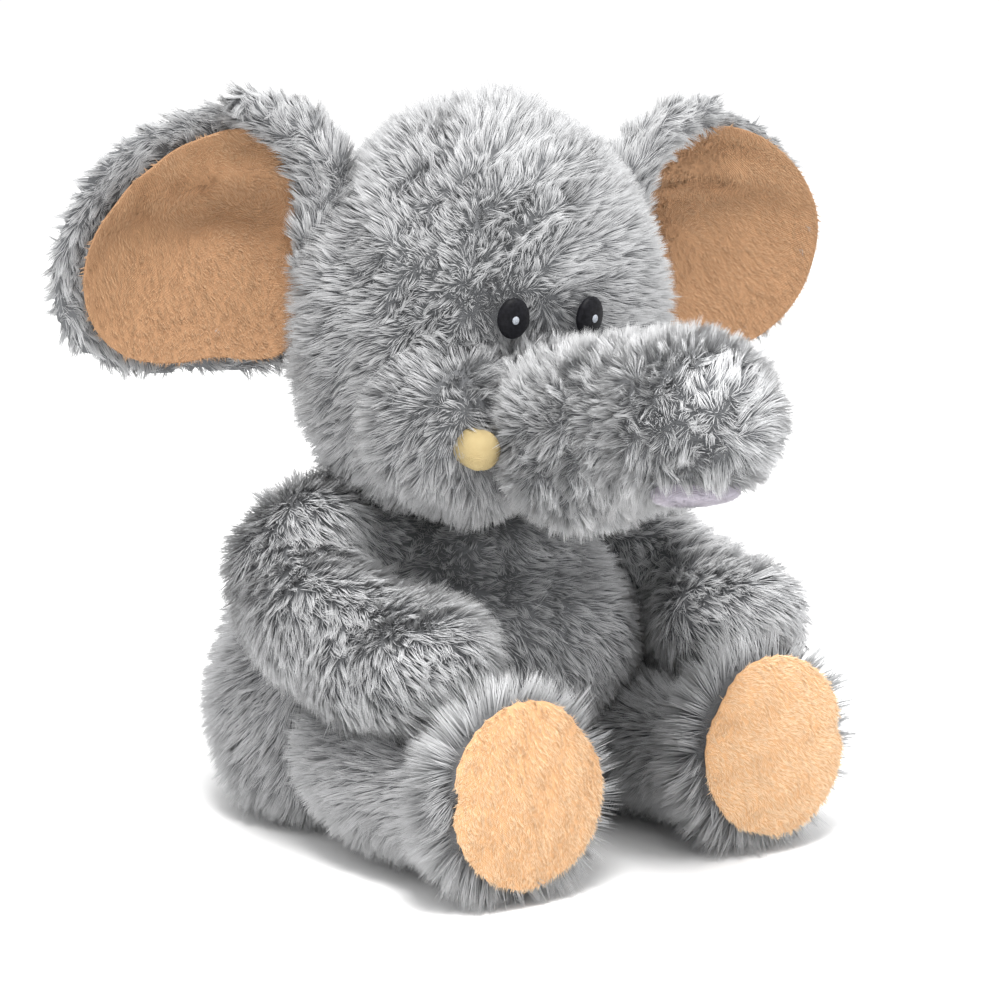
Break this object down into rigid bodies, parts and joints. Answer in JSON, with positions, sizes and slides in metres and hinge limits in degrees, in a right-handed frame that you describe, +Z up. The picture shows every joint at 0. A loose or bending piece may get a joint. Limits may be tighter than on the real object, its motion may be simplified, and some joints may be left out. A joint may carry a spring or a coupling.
{
  "type": "stuffed elephant",
  "caption": "Seated plush elephant with long grey pile, cupped lined ears, a bending stuffed trunk, small tusks, and swinging soft arms, legs and tail.",
  "frame": {"origin": "centre of the flat seat face under the torso, on the surface that the toy sits on", "axes": "+Z up, the toy faces -Y, +X towards its left side"},
  "size_m": [0.2654, 0.2995, 0.2412],
  "materials": {
    "grey_pile": "long shaggy cool-grey pile",
    "peach_pile": "short velvety peach pile",
    "lilac_pile": "short smooth lilac-grey pile",
    "cream_felt": "smooth cream knit",
    "black_thread": "satin black embroidery",
    "white_thread": "off-white thread",
    "fibre": "loose polyester fibre",
    "cotton": "plain woven cotton",
    "grain": "loose grain filling",
    "label": "woven satin label, blank"
  },
  "bodies": {
    "torso": {"torso_cover": "grey_pile", "torso_stuffing": "fibre", "pellet_pouch": "cotton", "pellet_filling": "grain", "care_label": "label"},
    "neck": {"neck_plug": "fibre"},
    "head": {"head_cover": "grey_pile", "head_stuffing": "fibre", "left_eye": "black_thread", "right_eye": "black_thread", "left_eye_highlight": "white_thread", "right_eye_highlight": "white_thread", "left_tusk_cover": "cream_felt", "right_tusk_cover": "cream_felt", "left_tusk_stuffing": "fibre", "right_tusk_stuffing": "fibre"},
    "trunk_root": {"trunk_root_cover": "grey_pile", "trunk_root_stuffing": "fibre"},
    "trunk_tip": {"trunk_tip_cover": "grey_pile", "trunk_tip_stuffing": "fibre", "trunk_tip_pad": "lilac_pile"},
    "tail": {"tail_cover": "grey_pile", "tail_stuffing": "fibre"},
    "left_ear": {"left_ear_back": "grey_pile", "left_ear_batting": "fibre", "left_ear_lining": "peach_pile"},
    "left_arm": {"left_arm_cover": "grey_pile", "left_arm_stuffing": "fibre"},
    "left_leg": {"left_leg_cover": "grey_pile", "left_leg_stuffing": "fibre", "left_foot_pad": "peach_pile"},
    "right_ear": {"right_ear_back": "grey_pile", "right_ear_batting": "fibre", "right_ear_lining": "peach_pile"},
    "right_arm": {"right_arm_cover": "grey_pile", "right_arm_stuffing": "fibre"},
    "right_leg": {"right_leg_cover": "grey_pile", "right_leg_stuffing": "fibre", "right_foot_pad": "peach_pile"}
  },
  "joints": [
    {"name": "neck_turn", "type": "hinge", "parent": "torso", "child": "neck", "pos_m": [0, -0.03, 0.086], "axis": [0, 0, 1], "range_deg": [-18, 34], "stiffness_Nm_per_rad": 0.5},
    {"name": "neck_nod", "type": "hinge", "parent": "neck", "child": "head", "pos_m": [0, -0.03, 0.086], "axis": [-1, 0, 0], "range_deg": [-3, 14], "stiffness_Nm_per_rad": 3},
    {"name": "trunk_lift", "type": "hinge", "parent": "head", "child": "trunk_root", "pos_m": [-0.00679, -0.07039, 0.14305], "axis": [-0.9889, 0.139, 0.0523], "range_deg": [-12, 6], "stiffness_Nm_per_rad": 0.6},
    {"name": "trunk_curl", "type": "hinge", "parent": "trunk_root", "child": "trunk_tip", "pos_m": [-0.01393, -0.12159, 0.14405], "axis": [-0.9889, 0.139, 0.0523], "range_deg": [-30, 24], "stiffness_Nm_per_rad": 0.3},
    {"name": "left_ear_flap", "type": "hinge", "parent": "head", "child": "left_ear", "pos_m": [0.05994, -0.03231, 0.18493], "axis": [0.0914, -0.0128, -0.9957], "range_deg": [-14, 24], "stiffness_Nm_per_rad": 0.12},
    {"name": "right_ear_flap", "type": "hinge", "parent": "head", "child": "right_ear", "pos_m": [-0.05577, -0.01604, 0.19105], "axis": [0.194, -0.0273, 0.9806], "range_deg": [-14, 24], "stiffness_Nm_per_rad": 0.12},
    {"name": "left_arm_raise", "type": "hinge", "parent": "torso", "child": "left_arm", "pos_m": [0.058, -0.024, 0.091], "axis": [-0.866, 0, 0.5], "range_deg": [0, 50]},
    {"name": "right_arm_raise", "type": "hinge", "parent": "torso", "child": "right_arm", "pos_m": [-0.058, -0.024, 0.091], "axis": [-0.866, 0, -0.5], "range_deg": [0, 50]},
    {"name": "left_leg_splay", "type": "hinge", "parent": "torso", "child": "left_leg", "pos_m": [0.048, -0.046, 0.031], "axis": [0, 0, 1], "range_deg": [0, 15]},
    {"name": "right_leg_splay", "type": "hinge", "parent": "torso", "child": "right_leg", "pos_m": [-0.048, -0.046, 0.031], "axis": [0, 0, -1], "range_deg": [0, 15]},
    {"name": "tail_swing", "type": "hinge", "parent": "torso", "child": "tail", "pos_m": [0, 0.0695, 0.034], "axis": [0, 0, 1], "range_deg": [-20, 20], "stiffness_Nm_per_rad": 0.02}
  ]
}
